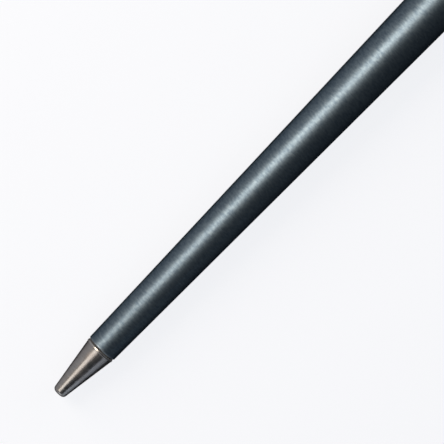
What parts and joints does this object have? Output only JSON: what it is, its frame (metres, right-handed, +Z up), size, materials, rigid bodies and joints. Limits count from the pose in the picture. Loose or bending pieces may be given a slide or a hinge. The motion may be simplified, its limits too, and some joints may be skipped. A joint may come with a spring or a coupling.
{
  "type": "inkless metal pencil",
  "caption": "Slim straight-tapered metal pen that writes without ink: hollow gun-metal barrel, blunt bare alloy nib that screws into a threaded nose bush, and a flat rear plug.",
  "frame": {"origin": "on the surface that the pen lies on, midway between its two ends", "axes": "+X from the rear to the writing end along the line that the barrel rests on, +Z up"},
  "size_m": [0.1422, 0.01, 0.01],
  "materials": {
    "gunmetal": "satin blue-grey anodised, brushed round the girth",
    "nib_alloy": "bare turned pewter-grey alloy, worn at the writing end",
    "black_fibre": "matt black",
    "brass": "bright cut brass"
  },
  "bodies": {
    "barrel": {"barrel": "gunmetal", "front_bush": "brass", "end_plug": "gunmetal"},
    "nib_washer": {"nib_washer": "black_fibre"},
    "nib": {"nib": "nib_alloy", "nib_stud": "brass"}
  },
  "joints": [
    {"name": "nib_travel", "type": "slide", "parent": "barrel", "child": "nib_washer", "axis": [0.9998, 0, -0.0189], "range_m": [0, 0.0045]},
    {"name": "nib_turn", "type": "hinge", "parent": "nib_washer", "child": "nib", "pos_m": [0.0618, 0, 0.0025], "axis": [0.9998, 0, -0.0189], "range_deg": [0, 3600]}
  ],
  "couplings": [
    {"joint": "nib_turn", "follows": "nib_travel", "rad_per_m": 13963}
  ]
}
